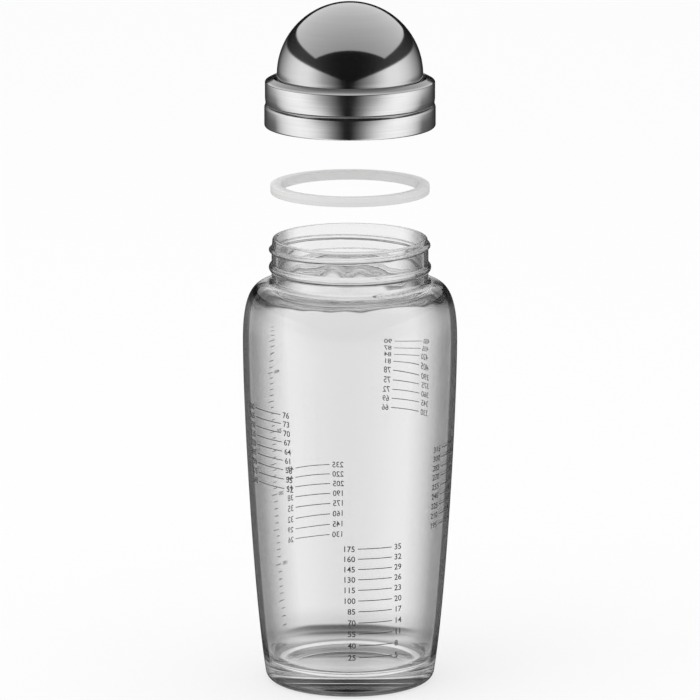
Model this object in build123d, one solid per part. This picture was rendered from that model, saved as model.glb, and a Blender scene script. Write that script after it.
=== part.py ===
from build123d import *
import math
import os

# A glass shaker bottle for dressings: a blown bottle, a loose sealing ring and a steel screw cap.
# Millimetres, +Z up. The origin is the centre of the face that the bottle stands on.
# The ring and the cap float above the mouth, lifted off and in line with the bottle.

# Bottle, outside
bottle_height = 169.0
belly_radius = 40.0
shoulder_drop = 22.0           # from the crown beside the neck down to the widest place
neck_height = 17.0
neck_radius = 29.2
neck_foot_chamfer = 1.3
rim_taper = 0.4
rim_taper_length = 4.0
rim_round = 0.75
standing_radius = 28.4
standing_width = 3.0           # of the flat ring that the bottle stands on
punt_depth = 2.4
heel_radius = 3.4
heel_lean = 9.0                # degrees that the wall leans out above the heel

# Bottle, inside
wall = 2.4
shoulder_wall = 3.2
neck_wall = 2.2
mouth_foot_fillet = 2.6
floor_thickness = 7.6
floor_corner_radius = 7.0

# Bead round the neck
bead_protrusion = 1.05
bead_width = 2.8
bead_drop = 11.1               # from the rim to the middle of the bead

# How far each end's direction pulls the wall and shoulder curves, as shares of their height or width
foot_pull_share = 0.22
belly_down_share = 0.21
belly_up_share = 0.80
crown_pull_share = 0.60

# Sealing ring
ring_reach = 1.6               # inwards over the mouth
ring_thickness = 3.4
ring_edge = 0.3

# How far the loose pieces are lifted off
ring_lift = 17.0
cap_lift = 21.7

# Cap, steel
sheet = 0.4
skirt_sheet = 0.65
skirt_height = 8.6
skirt_foot_round = 0.8
skirt_chamfer = 1.2
parting_gap = 0.4
groove_depth = 0.2
collar_height = 16.9           # from the foot of the cap to the edge of its shoulder
collar_chamfer = 1.6
shoulder_width = 3.0
shoulder_rise = 1.6
lip_roll = 0.5
lip_depth = 1.2
dome_side = 2.4                # straight side of the dome above the collar's edge

# Cap, liner and closing disc
liner_wall = 0.5
liner_bottom = 0.7
liner_step_height = 10.4
liner_seat_wall = 0.7
liner_ceiling = 1.0
ceiling_reach = 3.1            # inwards under the dome
snap_protrusion = 0.45
snap_width = 0.8
snap_drop = 0.7                # from the disc's underside to the middle of the snap bead
disc_thickness = 0.8
disc_panel_rise = 0.6
disc_panel_slope = 0.8

# Clearances
glue_gap = 0.05
thread_clearance = 0.3
ring_clearance = 0.75
disc_clearance = 0.25
disc_play = 0.15
panel_clearance = 1.4
lip_clearance = 0.9
overrun = 5.0

# Bottle and ring, worked out
shoulder_height = bottle_height - neck_height
belly_height = shoulder_height - shoulder_drop
rim_radius = neck_radius - rim_taper
mouth_radius = neck_radius - neck_wall
bead_radius = neck_radius + bead_protrusion
ring_base = bottle_height + ring_lift
cap_base = ring_base + ring_thickness + cap_lift

# Radii of the cap, from the bead outwards and then in to the dome
liner_bore_radius = bead_radius + thread_clearance
liner_radius = liner_bore_radius + liner_wall
seat_radius = liner_radius - liner_seat_wall
ring_outer_radius = seat_radius - ring_clearance
ring_inner_radius = mouth_radius - ring_reach
disc_radius = seat_radius - disc_clearance
hem_radius = liner_bore_radius + glue_gap
shell_bore_radius = liner_radius + glue_gap
skirt_radius = shell_bore_radius + skirt_sheet
collar_radius = shell_bore_radius + sheet
groove_radius = collar_radius - groove_depth
lip_radius = collar_radius - shoulder_width
dome_radius = lip_radius - lip_roll - lip_clearance
liner_opening_radius = dome_radius - ceiling_reach
disc_panel_radius = liner_opening_radius - panel_clearance

# Heights in the cap, and the flange that fills the space under the collar's sloping shoulder
collar_slope = math.atan2(shoulder_rise, shoulder_width)
flange_base = cap_base + collar_height - sheet / 2
shoulder_sheet = sheet / math.cos(collar_slope)        # upright thickness of the sloping sheet
flange_rise = flange_base + sheet + shoulder_sheet - cap_base - collar_height
dome_flange_radius = collar_radius - flange_rise / math.tan(collar_slope) - glue_gap
dome_spring = cap_base + collar_height + dome_side
liner_top = flange_base - glue_gap
ceiling_base = liner_top - liner_ceiling
disc_base = ceiling_base - disc_play - disc_thickness


def turned(profile):
    """A solid of revolution from a face drawn as radius across and height up."""
    return revolve(Plane.XZ * profile, axis=Axis.Z)


def arc_point(centre, radius, degrees):
    angle = math.radians(degrees)
    return (centre[0] + radius * math.cos(angle), centre[1] + radius * math.sin(angle))


def wall_outline(foot, belly, crown):
    """Wall and shoulder: from the leaning foot up to the belly, then over to the crown beside the neck."""
    lean = math.radians(heel_lean)
    height = belly[1] - foot[1]
    rise = crown[1] - belly[1]
    foot_pull = foot_pull_share * height
    side = Bezier(
        foot,
        (foot[0] + foot_pull * math.sin(lean), foot[1] + foot_pull * math.cos(lean)),
        (belly[0], belly[1] - belly_down_share * height),
        belly,
    )
    shoulder = Bezier(
        belly,
        (belly[0], belly[1] + belly_up_share * rise),
        (crown[0] + crown_pull_share * (belly[0] - crown[0]), crown[1]),
        crown,
    )
    return side + shoulder


def bottle_body():
    standing_inner_radius = standing_radius - standing_width
    heel_centre = (standing_radius, heel_radius)
    foot = arc_point(heel_centre, heel_radius, -heel_lean)
    crown = (neck_radius + neck_foot_chamfer, shoulder_height)
    neck_foot = (neck_radius, shoulder_height + neck_foot_chamfer)
    bead_height = bottle_height - bead_drop
    taper_foot = (neck_radius, bottle_height - rim_taper_length)
    rim = (rim_radius, bottle_height)
    outline = ThreePointArc(
        (-standing_inner_radius, 0), (0, punt_depth), (standing_inner_radius, 0)
    ).trim(0.5, 1)
    outline += Line((standing_inner_radius, 0), (standing_radius, 0))
    outline += ThreePointArc(
        (standing_radius, 0),
        arc_point(heel_centre, heel_radius, (-heel_lean - 90) / 2),
        foot,
    )
    outline += wall_outline(foot, (belly_radius, belly_height), crown)
    outline += Polyline(crown, neck_foot, (neck_radius, bead_height - bead_width / 2))
    outline += ThreePointArc(
        (neck_radius, bead_height - bead_width / 2),
        (bead_radius, bead_height),
        (neck_radius, bead_height + bead_width / 2),
    )
    outline += Line((neck_radius, bead_height + bead_width / 2), taper_foot)
    outline += Polyline(taper_foot, rim, (0, bottle_height), (0, punt_depth))
    return turned(make_face(outline))


def bottle_cavity():
    """The space inside, from the flat floor up through the mouth."""
    lean = math.radians(heel_lean)
    heel_end = arc_point((standing_radius, heel_radius), heel_radius, -heel_lean)
    corner_height = floor_thickness + floor_corner_radius
    foot_height = corner_height - floor_corner_radius * math.sin(lean)
    foot_radius = heel_end[0] + (foot_height - heel_end[1]) * math.tan(lean) - wall / math.cos(lean)
    corner = (foot_radius - floor_corner_radius * math.cos(lean), corner_height)
    foot = (foot_radius, foot_height)
    belly = (belly_radius - wall, belly_height)
    inner_crown_height = shoulder_height - shoulder_wall
    crown = (mouth_radius + mouth_foot_fillet, inner_crown_height)
    turn = (mouth_radius + mouth_foot_fillet, inner_crown_height + mouth_foot_fillet)
    mouth_foot = (mouth_radius, inner_crown_height + mouth_foot_fillet)
    floor_edge = (corner[0], floor_thickness)
    outline = Line((0, floor_thickness), floor_edge)
    outline += ThreePointArc(
        floor_edge, arc_point(corner, floor_corner_radius, (-heel_lean - 90) / 2), foot
    )
    outline += wall_outline(foot, belly, crown)
    outline += ThreePointArc(crown, arc_point(turn, mouth_foot_fillet, 225), mouth_foot)
    top = bottle_height + overrun
    outline += Polyline(mouth_foot, (mouth_radius, top), (0, top), (0, floor_thickness))
    return turned(make_face(outline))


def glass_bottle():
    bottle = bottle_body() - bottle_cavity()
    rim_edges = bottle.edges().filter_by(GeomType.CIRCLE).group_by(Axis.Z)[-1]
    return fillet(rim_edges, rim_round)


def sealing_ring():
    section = Pos(
        (ring_inner_radius + ring_outer_radius) / 2, ring_base + ring_thickness / 2
    ) * Rectangle(ring_outer_radius - ring_inner_radius, ring_thickness)
    return turned(chamfer(section.vertices(), ring_edge))


def cap_dome():
    """A drawn dome with a flange, which is held between the collar and the liner."""
    spring = (0, dome_spring)
    inner_radius = dome_radius - sheet
    outline = Polyline(
        (inner_radius, dome_spring),
        (inner_radius, flange_base),
        (dome_flange_radius, flange_base),
        (dome_flange_radius, flange_base + sheet),
        (dome_radius, flange_base + sheet),
        (dome_radius, dome_spring),
    )
    for radius in (dome_radius, inner_radius):
        outline += ThreePointArc(
            arc_point(spring, radius, 0), arc_point(spring, radius, 45), arc_point(spring, radius, 90)
        )
    outline += Line(arc_point(spring, dome_radius, 90), arc_point(spring, inner_radius, 90))
    return turned(make_face(outline))


def cap_collar():
    """The upper band: chamfered foot, straight side, sloping shoulder and a lip turned down at the dome."""
    foot = cap_base + skirt_height + parting_gap
    edge = cap_base + collar_height
    crest = edge + shoulder_rise
    lip_inner = lip_radius - lip_roll
    inner_edge = edge + (collar_radius - shell_bore_radius) * math.tan(collar_slope) - shoulder_sheet
    outline = Polyline(
        (shell_bore_radius, foot),
        (groove_radius, foot),
        (collar_radius, foot + collar_chamfer),
        (collar_radius, edge),
        (lip_radius, crest),
        (lip_inner, crest - lip_roll),
        (lip_inner, crest - lip_depth),
        (lip_inner + sheet, crest - lip_depth),
        (lip_inner + sheet, crest - shoulder_sheet),
        (shell_bore_radius, inner_edge),
        (shell_bore_radius, foot),
    )
    return turned(make_face(outline))


def cap_skirt():
    """The lower band: a rounded foot hemmed inwards under the liner, and a chamfered top edge."""
    top = cap_base + skirt_height
    round_centre = (skirt_radius - skirt_foot_round, cap_base + skirt_foot_round)
    outline = Line((hem_radius, cap_base), (round_centre[0], cap_base))
    outline += ThreePointArc(
        (round_centre[0], cap_base),
        arc_point(round_centre, skirt_foot_round, -45),
        (skirt_radius, round_centre[1]),
    )
    outline += Polyline(
        (skirt_radius, round_centre[1]),
        (skirt_radius, top - skirt_chamfer),
        (groove_radius, top),
        (shell_bore_radius, top),
        (shell_bore_radius, cap_base + skirt_sheet),
        (hem_radius, cap_base + skirt_sheet),
        (hem_radius, cap_base),
    )
    return turned(make_face(outline))


def threaded_liner():
    """The plastic lining of the cap, with a snap bead that keeps the disc up against its ceiling."""
    bottom = cap_base + liner_bottom
    step = cap_base + liner_step_height
    snap = disc_base - snap_drop
    outline = Polyline(
        (liner_bore_radius, bottom),
        (liner_radius, bottom),
        (liner_radius, liner_top),
        (liner_opening_radius, liner_top),
        (liner_opening_radius, ceiling_base),
        (seat_radius, ceiling_base),
        (seat_radius, snap + snap_width / 2),
        (seat_radius - snap_protrusion, snap),
        (seat_radius, snap - snap_width / 2),
        (seat_radius, step),
        (liner_bore_radius, step - (liner_bore_radius - seat_radius)),
        (liner_bore_radius, bottom),
    )
    return turned(make_face(outline))


def closing_disc():
    """A pressed plate that shuts off the dome, with its middle raised into the liner's opening."""
    top = disc_base + disc_thickness
    slope_end = disc_panel_radius - disc_panel_slope
    outline = Polyline(
        (0, disc_base + disc_panel_rise),
        (slope_end, disc_base + disc_panel_rise),
        (disc_panel_radius, disc_base),
        (disc_radius, disc_base),
        (disc_radius, top),
        (disc_panel_radius, top),
        (slope_end, top + disc_panel_rise),
        (0, top + disc_panel_rise),
        (0, disc_base + disc_panel_rise),
    )
    return turned(make_face(outline))


pieces = {
    "glass_bottle": glass_bottle(),
    "sealing_ring": sealing_ring(),
    "closing_disc": closing_disc(),
    "threaded_liner": threaded_liner(),
    "cap_skirt": cap_skirt(),
    "cap_collar": cap_collar(),
    "cap_dome": cap_dome(),
}

os.makedirs("parts", exist_ok=True)
for name, piece in pieces.items():
    export_step(piece, f"parts/{name}.step")

print("bottle holds, litres to the rim:", round(bottle_cavity().volume / 1e6, 3))
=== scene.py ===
import bpy
import bmesh
import math
from mathutils import Matrix, Vector, noise
from mathutils.geometry import intersect_point_line, interpolate_bezier


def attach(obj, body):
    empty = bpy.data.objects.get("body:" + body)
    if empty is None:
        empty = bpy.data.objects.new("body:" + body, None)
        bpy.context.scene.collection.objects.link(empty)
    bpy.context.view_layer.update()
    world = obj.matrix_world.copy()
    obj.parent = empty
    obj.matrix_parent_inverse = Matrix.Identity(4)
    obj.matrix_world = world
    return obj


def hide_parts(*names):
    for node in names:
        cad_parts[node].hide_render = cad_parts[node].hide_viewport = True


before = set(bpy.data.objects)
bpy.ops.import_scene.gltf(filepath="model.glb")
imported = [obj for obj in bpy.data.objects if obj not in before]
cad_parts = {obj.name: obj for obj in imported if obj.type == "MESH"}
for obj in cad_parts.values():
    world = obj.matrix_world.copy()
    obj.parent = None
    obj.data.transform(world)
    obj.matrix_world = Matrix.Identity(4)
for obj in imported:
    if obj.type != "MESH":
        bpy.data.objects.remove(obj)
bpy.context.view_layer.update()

print("frame loaded:", sorted(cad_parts))

# Shader maths


def grey(level):
    return (level, level, level, 1)


class Signal:
    # a socket that can be used in plain sums
    def __init__(self, shader, socket):
        self.shader = shader
        self.socket = socket

    def __getitem__(self, name):
        return Signal(self.shader, self.socket.node.outputs[name])

    def __add__(self, other):
        return self.shader.sum("ADD", self, other)

    def __sub__(self, other):
        return self.shader.sum("SUBTRACT", self, other)

    def __rsub__(self, other):
        return self.shader.sum("SUBTRACT", other, self)

    def __mul__(self, other):
        return self.shader.sum("MULTIPLY", self, other)

    def __truediv__(self, other):
        return self.shader.sum("DIVIDE", self, other)

    def __rtruediv__(self, other):
        return self.shader.sum("DIVIDE", other, self)

    def __pow__(self, other):
        return self.shader.sum("POWER", self, other)

    def __rpow__(self, other):
        return self.shader.sum("POWER", other, self)

    __radd__ = __add__
    __rmul__ = __mul__


class Shader:
    def __init__(self, tree):
        self.tree = tree
        tree.nodes.clear()

    def node(self, kind, settings=(), values=(), out=0):
        made = self.tree.nodes.new("ShaderNode" + kind)
        for name, value in dict(settings).items():
            if name == "stops":
                ramp = made.color_ramp
                while len(ramp.elements) < len(value):
                    ramp.elements.new(1)
                for stop, (place, level) in zip(ramp.elements, value):
                    stop.position = place
                    stop.color = grey(level)
            else:
                setattr(made, name, value)
        for name, value in dict(values).items():
            if isinstance(value, Signal):
                self.tree.links.new(value.socket, made.inputs[name])
            else:
                made.inputs[name].default_value = value
        if made.outputs:
            return Signal(self, made.outputs[out])

    def sum(self, operation, a, b=0.0):
        return self.node("Math", {"operation": operation}, {0: a, 1: b})

    def place(self):
        return self.node("TexCoord", out="Object")

    def split(self, vector):
        return self.node("SeparateXYZ", {}, {0: vector})

    def mix(self, share, a, b):
        return self.node("Mix", {"data_type": "RGBA"}, {0: share, 6: a, 7: b}, out=2)

    def blend(self, share, a, b):
        return self.node("MixShader", {}, {0: share, 1: a, 2: b})

    def step(self, value, low, high):
        return self.node("MapRange", {"interpolation_type": "SMOOTHSTEP"}, {0: value, 1: low, 2: high})

    def ramp(self, value, stops):
        return self.node("ValToRGB", {"stops": stops}, {0: value})

    def speckle(self, place, scale, detail):
        return self.node("TexNoise", {}, {"Vector": place, "Scale": scale, "Detail": detail})

    def bump(self, height, distance, strength=1.0):
        return self.node("Bump", {}, {"Height": height, "Distance": distance, "Strength": strength})

    def surface(self, **values):
        names = {"colour": "Base Color", "glass": "Transmission Weight"}
        named = {names.get(k, k[0].upper() + k[1:]): v for k, v in values.items()}
        return self.node("BsdfPrincipled", {}, named)

    def finish(self, surface, kind="Material"):
        self.node("Output" + kind, {}, {"Surface": surface})


def fromAxis(parts):
    # distance from the bottle's axis
    return (parts["X"] * parts["X"] + parts["Y"] * parts["Y"]) ** 0.5


def newMaterial(name):
    material = bpy.data.materials.new(name)
    material.use_nodes = True
    return material, Shader(material.node_tree)


# Half sections and turned pieces, in millimetres until finishPiece


def curvePoints(start, first, second, end, count):
    ends = [Vector((x, 0, z)) for x, z in (start, first, second, end)]
    return [(p.x, p.z) for p in interpolate_bezier(*ends, count)]


def drawSection(points, closed=False):
    # each point is (radius, height), then how far its corner is cut back and in how many steps it is rounded
    bm = bmesh.new()
    corners = [bm.verts.new((p[0], 0, p[1])) for p in points]
    for a, b in zip(corners, corners[1:] + corners[:1] if closed else corners[1:]):
        bm.edges.new((a, b))
    for corner, p in zip(corners, points):
        if len(p) > 2:
            bmesh.ops.bevel(bm, geom=[corner], offset=p[2], offset_type="OFFSET", segments=p[3], profile=0.5,
                            affect="VERTICES", material=-1, clamp_overlap=False)
    return bm


def addRows(bm, low, high, reach):
    # cuts every run between two points into rows no taller than reach
    low, high = Vector((low[0], 0, low[1])), Vector((high[0], 0, high[1]))
    near = 1e-4
    for edge in list(bm.edges):
        places = [(v.co, *intersect_point_line(v.co, low, high)) for v in edge.verts]
        if all((place - spot).length < near and -near < share < 1 + near for spot, place, share in places):
            cuts = math.ceil(edge.calc_length() / reach) - 1
            if cuts > 0:
                bmesh.ops.subdivide_edges(bm, edges=[edge], cuts=cuts)


def turnSection(bm, steps):
    bmesh.ops.spin(bm, geom=bm.verts[:] + bm.edges[:], cent=(0, 0, 0), axis=(0, 0, 1), dvec=(0, 0, 0),
                   angle=2 * math.pi, steps=steps, use_merge=True, use_normal_flip=False, use_duplicate=False)
    bmesh.ops.remove_doubles(bm, verts=bm.verts, dist=0.0005)
    bmesh.ops.recalc_face_normals(bm, faces=bm.faces)


def finishPiece(bm, name, material, body, replaced=None, crease=38):
    for face in bm.faces:
        face.smooth = True
    for edge in bm.edges:
        edge.smooth = edge.calc_face_angle(0) < math.radians(crease)
    bmesh.ops.scale(bm, vec=(0.001, 0.001, 0.001), verts=bm.verts)
    mesh = bpy.data.meshes.new(name)
    bm.to_mesh(mesh)
    bm.free()
    mesh.materials.append(material)
    piece = bpy.data.objects.new(name, mesh)
    bpy.context.scene.collection.objects.link(piece)
    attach(piece, body)
    if replaced:
        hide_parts(replaced)
    print(name, "made:", len(mesh.polygons), "faces")
    return piece


def moveOut(vert, distance):
    grow = 1 + distance / math.hypot(vert.co.x, vert.co.y)
    vert.co.x *= grow
    vert.co.y *= grow


def clockwiseFromX(vert):
    # degrees round the axis, seen from above
    return -math.degrees(math.atan2(vert.co.y, vert.co.x)) % 360


def ridgeShape(distance, halfWidth):
    # 1 on the crest, 0 beyond the foot; a lower fullness makes the ridge blunter
    share, fullness = abs(distance) / halfWidth, 0.7
    return max(0.0, 1 - share * share) ** fullness


def fadeEnds(turn, start, end, run):
    # a thread's ends run out over a part of a turn
    return max(0.0, min(1.0, (turn - start) / run, (end - turn) / run))


# Camera, floor and light

view = {
    "distance": 2.2, "height": 0.6046, "pitch": 12.27, "focalPixels": 6030, "picturePixels": 700,
    "sensor": 36, "clipEnd": 50,
    "bounces": 64,                      # light runs on inside the thick glass
}
camera = bpy.data.objects.new("camera", bpy.data.cameras.new("camera"))
camera.data.sensor_width = view["sensor"]
camera.data.lens = view["sensor"] * view["focalPixels"] / view["picturePixels"]
camera.data.clip_end = view["clipEnd"]
camera.location = (0, -view["distance"], view["height"])
camera.rotation_euler = (math.radians(90 - view["pitch"]), 0, 0)
bpy.context.scene.collection.objects.link(camera)
bpy.context.scene.camera = camera
bpy.context.scene.view_settings.view_transform = "Standard"
bpy.context.scene.cycles.max_bounces = view["bounces"]
bpy.context.scene.cycles.glossy_bounces = view["bounces"]

studio = {
    "floorSize": 8.0, "floorColour": 0.94, "floorRough": 0.9,
    "floorGlow": 0.65,                  # share of plain white in the floor, which keeps the rest for the shadow
    "floorPassed": 0.96,                # share of its tone through glass, which keeps a little of the shadow
    # the floor as it shows through the glass, by metres from the axis: shade under and round the foot
    "floorThroughGlass": [
        (0.0, 0.9), (0.014, 1.0), (0.02, 0.7), (0.024, 1.0), (0.037, 1.0), (0.041, 0.07), (0.045, 0.1),
        (0.048, 0.35), (0.051, 0.08), (0.061, 0.06), (0.069, 0.85), (0.1, 1.0), (1.0, 1.0),
    ],
    # the strength of that shade beside the bottle, and where it grows to full before and behind it,
    # by the share of a spot's distance that lies in depth
    "floorShadeBeside": 0.3, "floorBeside": (0.8, 0.985),
    # what the glass lets through, by the height of the ray's direction: dark above the horizon, paler overhead
    "seenThrough": [
        (0.0, 1.0), (0.05, 0.95), (0.12, 0.5), (0.19, 0.1), (0.32, 0.06), (0.42, 0.28), (0.6, 0.56),
        (0.85, 0.5), (1.0, 0.42),
    ],
    # brightness of the walls round the metal, by degrees from the camera's side: low down, then higher up
    "wallsLow": [
        (0, 0.012), (4, 0.014), (9, 0.07), (13, 0.14), (17, 0.22), (21, 0.31), (28, 0.54), (37, 0.82),
        (46, 1.04), (56, 1.18), (70, 1.23), (86, 1.12), (97, 0.92), (104, 0.72), (111, 0.45), (118, 0.17),
        (150, 0.07), (165, 0.03), (180, 0.02),
    ],
    "wallsHigh": [
        (0, 0.012), (9, 0.03), (16, 0.12), (30, 0.35), (40, 0.55), (50, 0.88), (60, 1.12), (68, 1.24),
        (84, 1.25), (102, 1.04), (113, 0.84), (125, 0.58), (137, 0.36), (150, 0.13), (160, 0.03), (180, 0.02),
    ],
    "wallsTop": 1.3,                    # above every brightness of the walls, since a ramp ends at 1
    "wallsTurn": 3.4,                   # degrees by which the walls are turned round the axis
    "wallsMeet": (-0.19, -0.1),         # direction heights between which low walls turn into high ones
    "wallsEnd": (-0.09, -0.05),         # where the walls end, which rises towards the sides
    "wallsRise": 0.34,
    # edges of the bright ceiling in front, at the sides and behind: a slope and the width of the soft edge
    "ceilingFront": (0.94, 0.03), "ceilingSides": (1.88, 0.06), "ceilingBack": (3.7, 0.08),
    "ceilingLevel": 0.66, "ceilingSlope": 0.28,
    "darkLevel": 0.01, "darkSides": 0.075,
    "ambient": 0.97,
    "lampPower": 7.5, "lampSize": 1.3, "lampPlace": (-0.85, -0.7, 2.15), "lampAim": (0, 0, 0.12),
}


def makeFloor():
    bm = bmesh.new()
    bmesh.ops.create_grid(bm, x_segments=4, y_segments=4, size=studio["floorSize"] / 2)
    mesh = bpy.data.meshes.new("floor")
    bm.to_mesh(mesh)
    bm.free()
    material, sh = newMaterial("paleFloor")
    paint = sh.surface(colour=grey(studio["floorColour"]), roughness=studio["floorRough"])
    white = sh.node("Emission", {}, {"Color": grey(1), "Strength": 1.0})
    rays = sh.node("LightPath")
    seen = sh.blend(studio["floorGlow"], paint, white)
    through = sh.node("BsdfTransparent")
    spot = sh.split(sh.place())
    reach = fromAxis(spot)
    tone = sh.ramp(reach, studio["floorThroughGlass"])
    beside = 1 - sh.step(sh.sum("ABSOLUTE", spot["Y"] / reach), *studio["floorBeside"])
    tone = tone + (1 - tone) * beside * (1 - studio["floorShadeBeside"])
    shaded = sh.node("Emission", {}, {"Color": tone, "Strength": 1.0})
    behind = sh.blend(studio["floorPassed"], paint, shaded)
    lit = sh.blend(rays["Is Camera Ray"], paint, seen)
    lit = sh.blend(rays["Is Glossy Ray"], lit, through)
    # last, because a refracted ray counts as glossy too
    sh.finish(sh.blend(rays["Is Transmission Ray"], lit, behind))
    mesh.materials.append(material)
    floor = bpy.data.objects.new("floor", mesh)
    bpy.context.scene.collection.objects.link(floor)


def makeWorld():
    world = bpy.data.worlds.new("studio")
    bpy.context.scene.world = world
    world.use_nodes = True
    sh = Shader(world.node_tree)
    parts = sh.split(sh.node("TexCoord", out="Generated"))
    x, y, z = parts["X"], parts["Y"], parts["Z"]
    side = sh.sum("ABSOLUTE", x)
    top = studio["wallsTop"]
    turn = sh.sum("ABSOLUTE", sh.sum("ARCTAN2", x, y * -1) / math.pi + studio["wallsTurn"] / 180)
    low, high = [sh.ramp(turn, [(degrees / 180, level / top) for degrees, level in studio[key]]) * top
                 for key in ("wallsLow", "wallsHigh")]
    walls = low + (high - low) * sh.step(z, *studio["wallsMeet"])
    wallShare = 1 - sh.step(z - side * studio["wallsRise"], *studio["wallsEnd"])
    front, frontWidth = studio["ceilingFront"]
    sides, sidesWidth = studio["ceilingSides"]
    back, backWidth = studio["ceilingBack"]
    ceiling = (sh.step(y + z * front, 0.0, frontWidth) * sh.step(z * sides - side, 0.0, sidesWidth)
               * sh.step(z * back - y, 0.0, backWidth))
    ceilingLevel = y * studio["ceilingSlope"] + studio["ceilingLevel"]
    dark = side * side * side * studio["darkSides"] + studio["darkLevel"]
    mirrored = walls * wallShare + (1 - wallShare) * (dark + ceiling * (ceilingLevel - dark))
    passed = sh.ramp(z, studio["seenThrough"])
    rays = sh.node("LightPath")
    level = sh.mix(rays["Is Glossy Ray"], grey(studio["ambient"]), mirrored)
    level = sh.mix(rays["Is Transmission Ray"], level, passed)
    level = sh.mix(rays["Is Camera Ray"], level, grey(1))
    sh.finish(sh.node("Background", {}, {"Color": level, "Strength": 1.0}), "World")


def makeLamp():
    data = bpy.data.lights.new("softbox", "AREA")
    data.size = studio["lampSize"]
    data.energy = studio["lampPower"]
    lamp = bpy.data.objects.new("softbox", data)
    lamp.location = studio["lampPlace"]
    lamp.rotation_euler = (Vector(studio["lampAim"]) - lamp.location).to_track_quat("-Z", "Y").to_euler()
    lamp.visible_glossy = False
    lamp.visible_transmission = False
    bpy.context.scene.collection.objects.link(lamp)


makeFloor()
makeWorld()
makeLamp()
print("stage set")

# Glass bottle

bottle = {
    "height": 169.0, "bellyRadius": 40.0, "bellyHeight": 130.0, "crownHeight": 152.0, "lean": 9.0,
    "neckRadius": 29.2, "neckFoot": 1.3, "neckRound": (0.5, 3),
    "rimRadius": 28.8, "rimRun": 4.0, "rimRound": (0.75, 6),
    "standingInner": 25.4, "standingOuter": 28.4, "standingRound": (0.7, 4), "heelRadius": 3.4, "heelSteps": 10,
    "puntDepth": 2.4, "puntHandle": 8.5, "puntRise": 1.6, "puntRows": 12,
    "mouthRadius": 27.0, "mouthFoot": 151.4, "mouthDrop": 2.6, "mouthRound": (2.5, 6),
    "wall": 2.4, "innerCrown": (29.6, 148.8),
    "floorHeight": 7.6, "floorDish": 0.35, "floorCorner": 7.0, "cornerShare": 0.97, "cornerSteps": 12,
    "dishRadius": 12, "dishRound": (6, 5),
    # the wall's curve: its handles as shares of its height, the shoulder's of its rise and of its width
    "footHandle": 0.22, "bellyHandle": 0.21, "wallRows": 40,
    "shoulderHandle": 0.8, "crownHandle": 0.6, "shoulderRows": 32,
    "beadHeight": 157.9, "beadHalfWidth": 1.5, "crestRadius": 30.25,
    "threadDrop": 2.45, "threadPitch": 4.1, "threadHalfWidth": 0.9, "threadEnds": (-20, 345), "threadRunOut": 30,
    "rowHeight": 0.3, "steps": 224,
    # unevenness of the inside: a slow wave that grows under the shoulder, and lumps in it, mostly in front
    "waves": {
        "from": 20, "to": 151, "fadeIn": 10, "fadeOut": 3, "clearance": 1.2, "turnScale": 1.6, "heightScale": 16,
        "depth": 0.12, "shoulderDepth": 0.4, "shoulderFrom": 118, "shoulderRun": 22,
        "lumpDepth": 0.7, "lumpScale": 2.6, "lumpHeight": 148.5, "lumpHalfWidth": 3.5,
        "lumpMiddle": 0.4, "lumpBehind": 0.15, "lumpRun": 20,
    },
    "glass": {
        # the wall's colour outside, inside and in the mouth, by how far it is turned away from the eye: a tint that
        # turns into painted shade towards the glass's edges
        "outerTints": [
            (0.0, 0.84), (0.06, 0.86), (0.15, 0.93), (0.2, 0.92), (0.264, 0.71), (0.344, 0.48), (0.393, 0.36),
            (0.45, 0.26), (0.49, 0.21), (0.53, 0.18), (0.6, 0.17), (0.65, 0.2), (0.68, 0.02), (0.76, 0.02),
            (0.86, 0.035), (1.0, 0.05),
        ],
        "innerTints": [(0.0, 0.9), (0.3, 0.88), (0.45, 0.8), (0.6, 0.72), (0.8, 0.65), (1.0, 0.6)],
        "mouthTints": [(0.0, 0.9), (0.3, 0.88), (0.42, 0.7), (0.52, 0.4), (0.62, 0.26), (1.0, 0.2)],
        # level faces have one colour, whichever way they are seen
        "levelTint": 0.93, "facesUp": (0.8, 0.98), "facesDown": (0.6, 0.9),
        # bands of light and shade, each with its strength, the heights in metres where it starts and ends,
        # and how far the wall is turned away there
        "footLight": 0.7, "footLightTint": 0.8, "footLightEnd": (0.013, 0.021),
        "footEdgeStart": (0.007, 0.011), "footEdgeTurned": (0.6, 0.68),
        "footShade": 0.8, "footShadeEnd": (0.001, 0.0075),
        "heelShade": 0.85, "heelStart": (0.002, 0.003), "heelEnd": (0.0046, 0.006), "heelTurned": (0.06, 0.2),
        "shoulderShade": 0.75, "shoulderStart": (0.1435, 0.1485), "shoulderEnd": (0.151, 0.1525),
        "shoulderTurned": (0.3, 0.5),
        "rimShade": 0.75, "rimStart": (0.1645, 0.1665), "rimTurned": (0.4, 0.75),
        "rippleScale": 55.0, "rippleDepth": 0.0001, "rippleStrength": 0.35,
        "refraction": 1.5,
    },
}


def wallCurves(foot, belly, crown):
    # wall and shoulder, leaving the foot, belly and crown in set directions
    lean = math.radians(bottle["lean"])
    height, rise = belly[1] - foot[1], crown[1] - belly[1]
    reach = bottle["footHandle"] * height
    side = curvePoints(foot, (foot[0] + reach * math.sin(lean), foot[1] + reach * math.cos(lean)),
                       (belly[0], belly[1] - bottle["bellyHandle"] * height), belly, bottle["wallRows"])
    shoulder = curvePoints(belly, (belly[0], belly[1] + bottle["shoulderHandle"] * rise),
                           (crown[0] + bottle["crownHandle"] * (belly[0] - crown[0]), crown[1]), crown,
                           bottle["shoulderRows"])
    return side + shoulder[1:]


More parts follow.
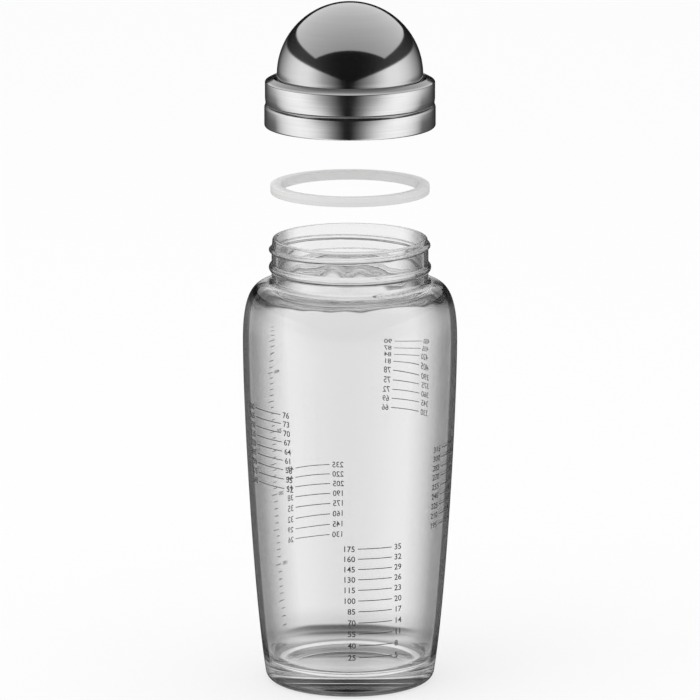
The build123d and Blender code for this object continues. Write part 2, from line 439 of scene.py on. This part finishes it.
def bottleWalls():
    lean = math.radians(bottle["lean"])
    heel = bottle["heelRadius"]
    outerFoot = (bottle["standingOuter"] + heel * math.cos(lean), heel - heel * math.sin(lean))
    outerBelly = (bottle["bellyRadius"], bottle["bellyHeight"])
    outer = wallCurves(outerFoot, outerBelly, (bottle["neckRadius"] + bottle["neckFoot"], bottle["crownHeight"]))
    footHeight = bottle["floorHeight"] + bottle["floorCorner"] * (1 - math.sin(lean))
    footRadius = outerFoot[0] + (footHeight - outerFoot[1]) * math.tan(lean) - bottle["wall"] / math.cos(lean)
    innerBelly = (bottle["bellyRadius"] - bottle["wall"], bottle["bellyHeight"])
    inner = wallCurves((footRadius, footHeight), innerBelly, bottle["innerCrown"])
    return outer, inner


def radiusAt(points, height):
    for (r0, z0), (r1, z1) in zip(points, points[1:]):
        if z0 <= height <= z1 and z1 > z0:
            return r0 + (r1 - r0) * (height - z0) / (z1 - z0)
    return points[-1][0]


def threadHeight(degrees):
    # the ridge sinks as it goes clockwise round the neck, seen from above, from its start at +X
    return bottle["height"] - bottle["threadDrop"] - bottle["threadPitch"] * degrees / 360


def raiseNeckRidges(bm):
    start, end = bottle["threadEnds"]
    neckInside, neckLow = bottle["rimRadius"] - 0.2, bottle["crownHeight"] + bottle["neckFoot"]
    for v in bm.verts:
        radius = math.hypot(v.co.x, v.co.y)
        if radius < neckInside or v.co.z < neckLow:
            continue
        clockwise = clockwiseFromX(v)
        share = ridgeShape(v.co.z - bottle["beadHeight"], bottle["beadHalfWidth"])
        for turn in (clockwise - 360, clockwise):
            ridge = ridgeShape(v.co.z - threadHeight(turn), bottle["threadHalfWidth"])
            share = max(share, ridge * fadeEnds(turn, start, end, bottle["threadRunOut"]))
        moveOut(v, (bottle["crestRadius"] - radius) * share)


def waveInside(bm):
    # pressed glass is never quite even inside, least of all under the shoulder
    waves = bottle["waves"]
    for v in bm.verts:
        height = v.co.z
        radius = math.hypot(v.co.x, v.co.y)
        if not (waves["from"] < height < waves["to"]) or radius > radiusAt(outerWall, height) - waves["clearance"]:
            continue
        around = waves["turnScale"]
        spot = Vector((v.co.x / radius * around, v.co.y / radius * around, height / waves["heightScale"]))
        near = max(0.0, min(1.0, (height - waves["shoulderFrom"]) / waves["shoulderRun"]))
        ease = min(1.0, (height - waves["from"]) / waves["fadeIn"], (waves["to"] - height) / waves["fadeOut"])
        shift = noise.noise(spot) * (waves["depth"] + waves["shoulderDepth"] * near) * ease
        lump = max(0.0, 1 - abs(height - waves["lumpHeight"]) / waves["lumpHalfWidth"])
        lump *= max(waves["lumpBehind"], min(1.0, waves["lumpMiddle"] - v.co.y / waves["lumpRun"]))
        shift += noise.noise(spot * waves["lumpScale"]) * waves["lumpDepth"] * lump
        moveOut(v, shift)


def glassMaterial(name, tintsAndShade):
    material, sh = newMaterial(name)
    glass = bottle["glass"]
    facing = sh.node("LayerWeight", {}, {"Blend": 0.5}, out="Facing")
    up = sh.split(sh.node("NewGeometry", out="Normal"))["Z"]
    spot = sh.split(sh.place())
    height = spot["Z"]
    # painted shade: the glass is painted darker as its wall turns away from the eye
    upright = sh.ramp(facing, tintsAndShade)
    # painted light: near the foot the glass is painted paler, except at its turned-away edge above the lowest part
    edge = sh.step(facing, *glass["footEdgeTurned"]) * sh.step(height, *glass["footEdgeStart"])
    clear = (1 - sh.step(height, *glass["footLightEnd"])) * (1 - edge) * glass["footLight"]
    upright = sh.mix(clear, upright, grey(glass["footLightTint"]))
    foot = (1 - sh.step(height, *glass["footShadeEnd"])) * glass["footShade"]
    shoulder = sh.step(facing, *glass["shoulderTurned"]) * sh.step(height, *glass["shoulderStart"])
    shoulder = shoulder * (1 - sh.step(height, *glass["shoulderEnd"])) * glass["shoulderShade"]
    upright = sh.mix(foot + shoulder, upright, grey(0))
    # how far the bottle's side turns away from the eye: the rim's painted shade darkens with it, and the painted
    # shade in the band round the heel pales with it
    sideways = sh.node("CombineXYZ", {}, {0: spot["X"], 1: spot["Y"]})
    outward = sh.node("VectorMath", {"operation": "NORMALIZE"}, {0: sideways})
    around = sh.node("LayerWeight", {}, {"Blend": 0.5, "Normal": outward}, out="Facing")
    heel = sh.step(height, *glass["heelStart"]) * (1 - sh.step(height, *glass["heelEnd"]))
    heel = heel * (1 - sh.step(around, *glass["heelTurned"])) * glass["heelShade"]
    upright = sh.mix(heel, upright, grey(0))
    rim = sh.step(around, *glass["rimTurned"]) * sh.step(height, *glass["rimStart"]) * glass["rimShade"]
    flat = sh.step(up, *glass["facesUp"]) + sh.step(up * -1, *glass["facesDown"])
    tint = sh.mix(flat, upright, (1 - rim) * glass["levelTint"])
    ripple = sh.bump(sh.speckle(sh.place(), glass["rippleScale"], 1.0), glass["rippleDepth"], glass["rippleStrength"])
    sh.finish(sh.surface(colour=tint, roughness=0.0, IOR=glass["refraction"], glass=1.0, normal=ripple))
    return material


def glassPlace(face):
    # 0 outside, 1 inside, 2 in the mouth, parted by surfaces that run this far within the glass
    spot, within = face.calc_center_median(), 1
    if spot.z < bottle["crownHeight"]:
        middle = radiusAt(outerWall, spot.z) - bottle["wall"] / 2
    else:
        middle = bottle["mouthRadius"] + within
    if spot.z <= bottle["puntDepth"] + within or math.hypot(spot.x, spot.y) >= middle:
        return 0
    return 2 if spot.z > bottle["mouthFoot"] else 1


def makeBottle():
    lean = math.radians(bottle["lean"])
    cutShare = math.tan(math.radians(90 - bottle["lean"]) / 2)
    heelCut = bottle["heelRadius"] * cutShare
    cornerCut = bottle["floorCorner"] * cutShare
    floorEdge = innerWall[0][0] - cornerCut * math.sin(lean)
    dish = bottle["floorHeight"] - bottle["floorDish"]
    dishMiddle = dish - bottle["floorDish"] * 0.5
    standing = (bottle["standingInner"], 0)
    punt = curvePoints((0, bottle["puntDepth"]), (bottle["puntHandle"], bottle["puntDepth"]),
                       (bottle["standingInner"] - bottle["puntHandle"], bottle["puntRise"]), standing,
                       bottle["puntRows"])
    neckFoot = (bottle["neckRadius"], bottle["crownHeight"] + bottle["neckFoot"])
    rimStart = (bottle["neckRadius"], bottle["height"] - bottle["rimRun"])
    rim = (bottle["rimRadius"], bottle["height"])
    points = punt[:-1] + [
        (*standing, *bottle["standingRound"]),
        (bottle["standingOuter"] + heelCut, 0, heelCut, bottle["heelSteps"]),
        *outerWall[1:-1],
        (bottle["neckRadius"] + bottle["neckFoot"], bottle["crownHeight"]),
        (*neckFoot, *bottle["neckRound"]),
        rimStart,
        (*rim, *bottle["rimRound"]),
        (bottle["mouthRadius"], bottle["height"], *bottle["rimRound"]),
        (bottle["mouthRadius"], bottle["mouthFoot"] - bottle["mouthDrop"], *bottle["mouthRound"]),
        *innerWall[::-1][1:-1],
        (floorEdge, dish, cornerCut * bottle["cornerShare"], bottle["cornerSteps"]),
        (bottle["dishRadius"], dishMiddle, *bottle["dishRound"]),
        (0, dishMiddle),
    ]
    bm = drawSection(points)
    addRows(bm, neckFoot, rimStart, bottle["rowHeight"])
    addRows(bm, rimStart, rim, bottle["rowHeight"])
    turnSection(bm, bottle["steps"])
    raiseNeckRidges(bm)
    waveInside(bm)
    for face in bm.faces:
        face.material_index = glassPlace(face)
    outside, inside, mouth = [glassMaterial(name, bottle["glass"][tintsAndShade]) for name, tintsAndShade in (
        ("clearGlass", "outerTints"), ("clearGlassInside", "innerTints"), ("clearGlassMouth", "mouthTints"))]
    piece = finishPiece(bm, "bottleGlass", outside, "bottle", "glass_bottle", crease=50)
    piece.data.materials.append(inside)
    piece.data.materials.append(mouth)


outerWall, innerWall = bottleWalls()
makeBottle()

# Printed scales: their lines stand where the bottle holds a round number of millilitres

ink = {
    "lift": 0.03, "thickness": 0.04, "lineHeight": 0.3, "lineRun": 1.2,
    "digitSize": 3.1, "digitWeight": 0.012, "digitMiddle": 0.35, "digitCurve": 3,
    "numberEnd": 5.8, "lineStart": 6.8, "numberStart": 7.8, "spoon": 5,
    # each scale: name, angle of its left end, first and last millilitres, step, line length
    "columns": [
        ("scaleFrontLow", 264, 25, 175, 15, 13.0),
        ("scaleFrontLeft", 198, 260, 380, 15, 15.0),
        ("scaleBackLow", 92, 130, 235, 15, 15.0),
        ("scaleBackHigh", 36, 330, 450, 15, 13.0),
        ("scaleRight", 321, 195, 315, 15, 11.0),
    ],
    "ruler": {
        "name": "scaleFine", "angle": 141, "first": 20, "last": 480, "step": 10, "short": 2.2, "long": 3.6,
        "longEvery": 50, "numberEvery": 100, "numberEnd": -1.0, "digitSize": 2.0,
    },
    "fillTop": 150, "fillStep": 0.1,
    "speckScale": 3500.0, "speckEnds": (0.35, 0.7), "darkInk": (0.025, 0.025, 0.026, 1),
    "paleInk": (0.06, 0.06, 0.061, 1), "rough": 0.4, "speckRough": 0.25, "speckDepth": 0.00001,
}


def inkMaterial():
    material, sh = newMaterial("scaleInk")
    specks = sh.speckle(sh.place(), ink["speckScale"], 2.0)
    colour = sh.mix(sh.step(specks, *ink["speckEnds"]), ink["darkInk"], ink["paleInk"])
    sh.finish(sh.surface(colour=colour, roughness=specks * ink["speckRough"] + ink["rough"],
                         normal=sh.bump(specks, ink["speckDepth"])))
    return material


def fillHeights():
    # height of the dressing for each millilitre in the bottle
    table, volume = [], 0.0
    height = bottle["floorHeight"]
    corner, wallFoot = bottle["floorCorner"], innerWall[0]
    while height < ink["fillTop"]:
        if height < wallFoot[1]:
            drop = (wallFoot[1] - height) / corner
            radius = wallFoot[0] - corner * (1 - math.sqrt(max(0, 1 - drop ** 2)))
        else:
            radius = radiusAt(innerWall, height)
        volume += math.pi * radius * radius * ink["fillStep"] / 1000
        height += ink["fillStep"]
        table.append((volume, height))
    return table


def heightFor(table, millilitres):
    return next(height for volume, height in table if volume >= millilitres)


def addLine(bm, left, bottom, length):
    height = ink["lineHeight"]
    place = Matrix.Translation((left + length / 2, bottom, 0)) @ Matrix.Diagonal((length, height, 1, 1))
    parts = max(1, round(length / ink["lineRun"]))
    bmesh.ops.create_grid(bm, x_segments=parts, y_segments=1, size=0.5, matrix=place)


def addNumber(bm, number, left, middle, size, align="LEFT"):
    curve = bpy.data.curves.new("digits", "FONT")
    curve.body = str(number)
    curve.size = size
    curve.align_x = align
    curve.resolution_u = ink["digitCurve"]
    curve.offset = ink["digitWeight"] * size
    holder = bpy.data.objects.new("digits", curve)
    bpy.context.scene.collection.objects.link(holder)
    mesh = bpy.data.meshes.new_from_object(holder)
    mesh.transform(Matrix.Translation((left, middle - size * ink["digitMiddle"], 0)))
    bm.from_mesh(mesh)
    bpy.data.objects.remove(holder)
    bpy.data.curves.remove(curve)
    bpy.data.meshes.remove(mesh)


def wrapPrint(bm, degrees, name, material):
    # bends the flat print round the glass and gives it the thickness of the ink
    bmesh.ops.recalc_face_normals(bm, faces=bm.faces)
    for face in bm.faces:
        if face.normal.z < 0:
            face.normal_flip()
    start = math.radians(degrees)
    for v in bm.verts:
        radius = radiusAt(outerWall, v.co.y) + ink["lift"]
        angle = start + v.co.x / radius
        v.co = (radius * math.cos(angle), radius * math.sin(angle), v.co.y)
    bm.normal_update()
    sheet = bmesh.ops.extrude_face_region(bm, geom=bm.faces[:], use_keep_orig=True)
    for v in [g for g in sheet["geom"] if isinstance(g, bmesh.types.BMVert)]:
        moveOut(v, ink["thickness"])
    bmesh.ops.recalc_face_normals(bm, faces=bm.faces)
    finishPiece(bm, name, material, "bottle")


def makePrint():
    material = inkMaterial()
    table = fillHeights()
    for name, degrees, first, last, step, length in ink["columns"]:
        bm = bmesh.new()
        for amount in range(first, last + 1, step):
            height = heightFor(table, amount)
            addNumber(bm, amount, ink["numberEnd"], height, ink["digitSize"], "RIGHT")
            addLine(bm, ink["lineStart"], height, length)
            addNumber(bm, round(amount / ink["spoon"]), length + ink["numberStart"], height, ink["digitSize"])
        wrapPrint(bm, degrees, name, material)
    ruler = ink["ruler"]
    bm = bmesh.new()
    for amount in range(ruler["first"], ruler["last"] + 1, ruler["step"]):
        height = heightFor(table, amount)
        addLine(bm, 0, height, ruler["short"] if amount % ruler["longEvery"] else ruler["long"])
        if amount % ruler["numberEvery"] == 0:
            addNumber(bm, amount, ruler["numberEnd"], height, ruler["digitSize"], "RIGHT")
    wrapPrint(bm, ruler["angle"], ruler["name"], material)


makePrint()

# Sealing ring

ring = {
    "inner": 25.4, "outer": 29.6, "base": 186.0, "thickness": 3.4, "edge": (0.45, 4), "steps": 192,
    "flash": 0.06, "flashHalfWidth": 0.12,
    "cloudScale": 90.0, "grainScale": 2600.0, "cloudColours": ((0.93, 0.93, 0.925, 1), (0.96, 0.96, 0.955, 1)),
    # the outer face is painted greyer, a painted shade: how deep in metres, and its colour
    "sideDepths": (0.0004, 0.0001), "sideColour": (0.71, 0.71, 0.705, 1),
    "rough": 0.46, "cloudRough": 0.12, "grainDepth": 0.00002, "grainStrength": 0.5,
}


def siliconeMaterial():
    material, sh = newMaterial("whiteSilicone")
    place = sh.place()
    clouds = sh.speckle(place, ring["cloudScale"], 3.0)
    grain = sh.speckle(place, ring["grainScale"], 2.0)
    start, end = [ring["outer"] / 1000 - depth for depth in ring["sideDepths"]]
    # painted shade: the ring's outer face is painted greyer
    side = sh.step(fromAxis(sh.split(place)), start, end)
    colour = sh.mix(side, sh.mix(clouds, *ring["cloudColours"]), ring["sideColour"])
    sh.finish(sh.surface(colour=colour, roughness=clouds * ring["cloudRough"] + ring["rough"],
                         normal=sh.bump(grain, ring["grainDepth"], ring["grainStrength"])))
    return material


def makeRing():
    inner, outer, low = ring["inner"], ring["outer"] - ring["flash"], ring["base"]
    high = low + ring["thickness"]
    middle = (low + high) / 2
    bm = drawSection([
        (inner, low, *ring["edge"]), (outer, low, *ring["edge"]),
        (outer, middle - ring["flashHalfWidth"]), (ring["outer"], middle), (outer, middle + ring["flashHalfWidth"]),
        (outer, high, *ring["edge"]), (inner, high, *ring["edge"]),
    ], closed=True)
    turnSection(bm, ring["steps"])
    finishPiece(bm, "ringSeal", siliconeMaterial(), "ring", "sealing_ring")


makeRing()

# Steel of the cap

cap = {
    "base": 211.1, "sheet": 0.4, "bore": 31.1, "groove": 31.3, "grooveRound": (0.08, 2), "gap": 0.4, "steps": 256,
    "skirtHeight": 8.6, "skirtRadius": 31.75, "skirtSheet": 0.65, "skirtChamfer": 1.2,
    "hemRadius": 30.6, "hemRound": (0.25, 3), "hemCorner": (0.2, 2), "footRound": (0.8, 6),
    "collarRadius": 31.5, "collarHeight": 16.9, "collarChamfer": 1.6, "chamferRound": (0.3, 3),
    "shoulderWidth": 3.0, "shoulderRise": 1.6, "shoulderRound": (0.35, 5),
    "lipRoll": 0.5, "lipDepth": 1.2, "lipRound": (0.3, 4), "lipEdge": (0.12, 2),
    "domeRadius": 27.1, "domeSpring": 230.4, "domeRows": (40, 48),
    "flangeBase": 227.8, "flangeRadius": 30.22, "flangeRound": (0.4, 4),
    "steel": {
        # marks round the axis: how fast they change with the place round it, and with height and radius
        "fineMarks": (45, 6500), "broadMarks": (25, 1300), "fineShare": 0.6, "broadShare": 0.4,
        "darker": 0.22, "lighter": 0.14, "toneEnds": (0.3, 0.7), "markRough": 0.22, "markDepth": 0.000012,
        "markStrength": 0.6, "cloudScale": 60.0, "cloudRough": 0.04,
        # metres from the collar's edge between which the shade above it begins
        "shadeStart": -0.0001, "shadeEnd": 0.0007,
    },
}


def steelMaterial(name, level, rough, streaks, shade=1.0):
    # shade is the share of brightness that is left on the collar's shoulder
    material, sh = newMaterial(name)
    steel = cap["steel"]
    parts = sh.split(sh.place())
    x, y, z = parts["X"], parts["Y"], parts["Z"]
    radius = fromAxis(parts)
    fine, broad = [sh.node("CombineXYZ", {}, {0: x * across, 1: y * across, 2: (z + radius) * up})
                   for across, up in (steel["fineMarks"], steel["broadMarks"])]
    fineMarks = sh.speckle(fine, 1.0, 1.0)
    broadMarks = sh.speckle(broad, 1.0, 2.0)
    clouds = sh.speckle(sh.place(), steel["cloudScale"], 2.0)
    tone = fineMarks * steel["fineShare"] + broadMarks * steel["broadShare"]
    low = level * (1 - steel["darker"] * streaks)
    high = level * (1 + steel["lighter"] * streaks)
    colour = sh.mix(sh.step(tone, *steel["toneEnds"]), grey(low), grey(high))
    edge = (cap["base"] + cap["collarHeight"]) / 1000
    above = sh.step(z, edge + steel["shadeStart"], edge + steel["shadeEnd"])
    colour = sh.mix(above * (1 - shade), colour, grey(0))
    roughness = (tone - 0.5) * steel["markRough"] * streaks + (clouds - 0.5) * steel["cloudRough"] + rough
    marks = sh.bump(tone, steel["markDepth"] * streaks, steel["markStrength"])
    sh.finish(sh.surface(colour=colour, metallic=1.0, roughness=roughness, normal=marks))
    return material


def makeSkirt(material):
    base = cap["base"]
    top, hemTop = base + cap["skirtHeight"], base + cap["skirtSheet"]
    bm = drawSection([
        (cap["hemRadius"], base, *cap["hemRound"]), (cap["skirtRadius"], base, *cap["footRound"]),
        (cap["skirtRadius"], top - cap["skirtChamfer"], *cap["hemRound"]), (cap["groove"], top, *cap["grooveRound"]),
        (cap["bore"], top), (cap["bore"], hemTop, *cap["hemCorner"]), (cap["hemRadius"], hemTop, *cap["hemRound"]),
    ], closed=True)
    turnSection(bm, cap["steps"])
    finishPiece(bm, "capSkirt", material, "cap", "cap_skirt", crease=60)


def makeCollar(material):
    radius, bore = cap["collarRadius"], cap["bore"]
    foot = cap["base"] + cap["skirtHeight"] + cap["gap"]
    edge = cap["base"] + cap["collarHeight"]
    crest = edge + cap["shoulderRise"]
    slope = math.atan2(cap["shoulderRise"], cap["shoulderWidth"])
    thick = cap["sheet"] / math.cos(slope)
    lipRadius = radius - cap["shoulderWidth"]
    lipInner = lipRadius - cap["lipRoll"]
    lipOuter = lipInner + cap["sheet"]
    bm = drawSection([
        (bore, foot), (cap["groove"], foot, *cap["grooveRound"]),
        (radius, foot + cap["collarChamfer"], *cap["chamferRound"]), (radius, edge, *cap["shoulderRound"]),
        (lipRadius, crest, *cap["lipRound"]), (lipInner, crest - cap["lipRoll"], *cap["lipRound"]),
        (lipInner, crest - cap["lipDepth"], *cap["lipEdge"]), (lipOuter, crest - cap["lipDepth"]),
        (lipOuter, crest - thick), (bore, edge + (radius - bore) * math.tan(slope) - thick),
    ], closed=True)
    turnSection(bm, cap["steps"])
    finishPiece(bm, "capCollar", material, "cap", "cap_collar", crease=60)


def makeDome(material):
    outer, inner = cap["domeRadius"], cap["domeRadius"] - cap["sheet"]
    spring, base, flange = cap["domeSpring"], cap["flangeBase"], cap["flangeBase"] + cap["sheet"]
    underRows, overRows = cap["domeRows"]
    kappa = 0.5523                      # the handle that makes a Bezier curve a quarter of a circle
    under = curvePoints((0, spring + inner), (kappa * inner, spring + inner),
                        (inner, spring + kappa * inner), (inner, spring), underRows)
    over = curvePoints((outer, spring), (outer, spring + kappa * outer),
                       (kappa * outer, spring + outer), (0, spring + outer), overRows)
    points = [(inner, base), (cap["flangeRadius"], base), (cap["flangeRadius"], flange),
              (outer, flange, *cap["flangeRound"])]
    bm = drawSection(under + points + over)
    turnSection(bm, cap["steps"])
    finishPiece(bm, "capDome", material, "cap", "cap_dome", crease=60)


brushed = steelMaterial("brushedSteel", level=0.7, rough=0.14, streaks=0.3, shade=0.45)
polished = steelMaterial("polishedSteel", level=0.57, rough=0.09, streaks=0.1)
makeSkirt(brushed)
makeCollar(brushed)
makeDome(polished)

# Liner and closing disc

liner = {
    "bore": 30.55, "radius": 31.05, "bottom": 211.8, "top": 227.75, "opening": 24.0, "ceiling": 226.75,
    "seat": 30.35, "seatStep": 221.5, "snap": 225.1, "snapReach": 0.45, "snapHalf": 0.4,
    "footRound": (0.18, 3), "footCorner": (0.15, 2), "topCorner": (0.1, 2), "openingRound": (0.2, 3),
    "snapFoot": (0.1, 2), "snapRound": (0.15, 3),
    # the thread lies below the neck's ridge when the cap is closed, and at rest the cap is lifted
    "below": 2.1, "lifted": 53.3, "crest": 29.65, "halfWidth": 0.8, "ends": (15, 325), "runOut": 25,
    "rowHeight": 0.25, "steps": 224,
    "cloudScale": 70.0, "grainScale": 3000.0, "cloudColours": ((0.74, 0.74, 0.73, 1), (0.79, 0.79, 0.78, 1)),
    # the side that is pressed into the steel is painted dark, a painted shade, or the cap's groove would show it:
    # depths in metres
    "hiddenDepths": (0.0001, 0.00003), "hiddenColour": 0.1,
    "rough": 0.34, "grainRough": 0.15, "grainDepth": 0.00001, "grainStrength": 0.5,
}
disc = {
    "base": 225.8, "thickness": 0.8, "radius": 30.1, "panel": 22.6, "rise": 0.6, "slope": 0.8, "steps": 160,
    "panelRound": (0.4, 3), "edgeRound": (0.15, 3),
}


def plasticMaterial():
    material, sh = newMaterial("linerPlastic")
    place = sh.place()
    clouds = sh.speckle(place, liner["cloudScale"], 2.0)
    grain = sh.speckle(place, liner["grainScale"], 2.0)
    start, end = [liner["radius"] / 1000 - depth for depth in liner["hiddenDepths"]]
    # painted shade on the side that is pressed into the steel
    gapShade = sh.step(fromAxis(sh.split(place)), start, end)
    colour = sh.mix(gapShade, sh.mix(clouds, *liner["cloudColours"]), grey(liner["hiddenColour"]))
    sh.finish(sh.surface(colour=colour, roughness=grain * liner["grainRough"] + liner["rough"],
                         normal=sh.bump(grain, liner["grainDepth"], liner["grainStrength"])))
    return material


def raiseLinerThread(bm):
    (start, end), near = liner["ends"], 0.01
    for v in bm.verts:
        if abs(math.hypot(v.co.x, v.co.y) - liner["bore"]) > near:
            continue
        clockwise = clockwiseFromX(v)
        middle = threadHeight(clockwise) + liner["lifted"] - liner["below"]
        share = ridgeShape(v.co.z - middle, liner["halfWidth"]) * fadeEnds(clockwise, start, end, liner["runOut"])
        moveOut(v, (liner["crest"] - liner["bore"]) * share)


def makeLiner():
    radius, bore, seat = liner["radius"], liner["bore"], liner["seat"]
    bottom, top, ceiling = liner["bottom"], liner["top"], liner["ceiling"]
    snap, half = liner["snap"], liner["snapHalf"]
    stepFoot = liner["seatStep"] - (bore - seat)
    bm = drawSection([
        (bore, bottom, *liner["footRound"]), (radius, bottom, *liner["footCorner"]),
        (radius, top, *liner["topCorner"]), (liner["opening"], top, *liner["openingRound"]),
        (liner["opening"], ceiling, *liner["openingRound"]), (seat, ceiling),
        (seat, snap + half, *liner["snapFoot"]), (seat - liner["snapReach"], snap, *liner["snapRound"]),
        (seat, snap - half, *liner["snapFoot"]), (seat, liner["seatStep"]), (bore, stepFoot),
    ], closed=True)
    addRows(bm, (bore, bottom), (bore, stepFoot), liner["rowHeight"])
    turnSection(bm, liner["steps"])
    raiseLinerThread(bm)
    finishPiece(bm, "capLiner", plasticMaterial(), "cap", "threaded_liner", crease=50)


def makeDisc():
    low, top, rise = disc["base"], disc["base"] + disc["thickness"], disc["rise"]
    panel, inner = disc["panel"], disc["panel"] - disc["slope"]
    bm = drawSection([
        (0, low + rise), (inner, low + rise, *disc["panelRound"]), (panel, low, *disc["panelRound"]),
        (disc["radius"], low, *disc["edgeRound"]), (disc["radius"], top, *disc["edgeRound"]),
        (panel, top, *disc["panelRound"]), (inner, top + rise, *disc["panelRound"]), (0, top + rise),
    ])
    turnSection(bm, disc["steps"])
    material = steelMaterial("innerSteel", level=0.6, rough=0.26, streaks=0.8)
    finishPiece(bm, "closingDisc", material, "disc", "closing_disc")


makeLiner()
makeDisc()
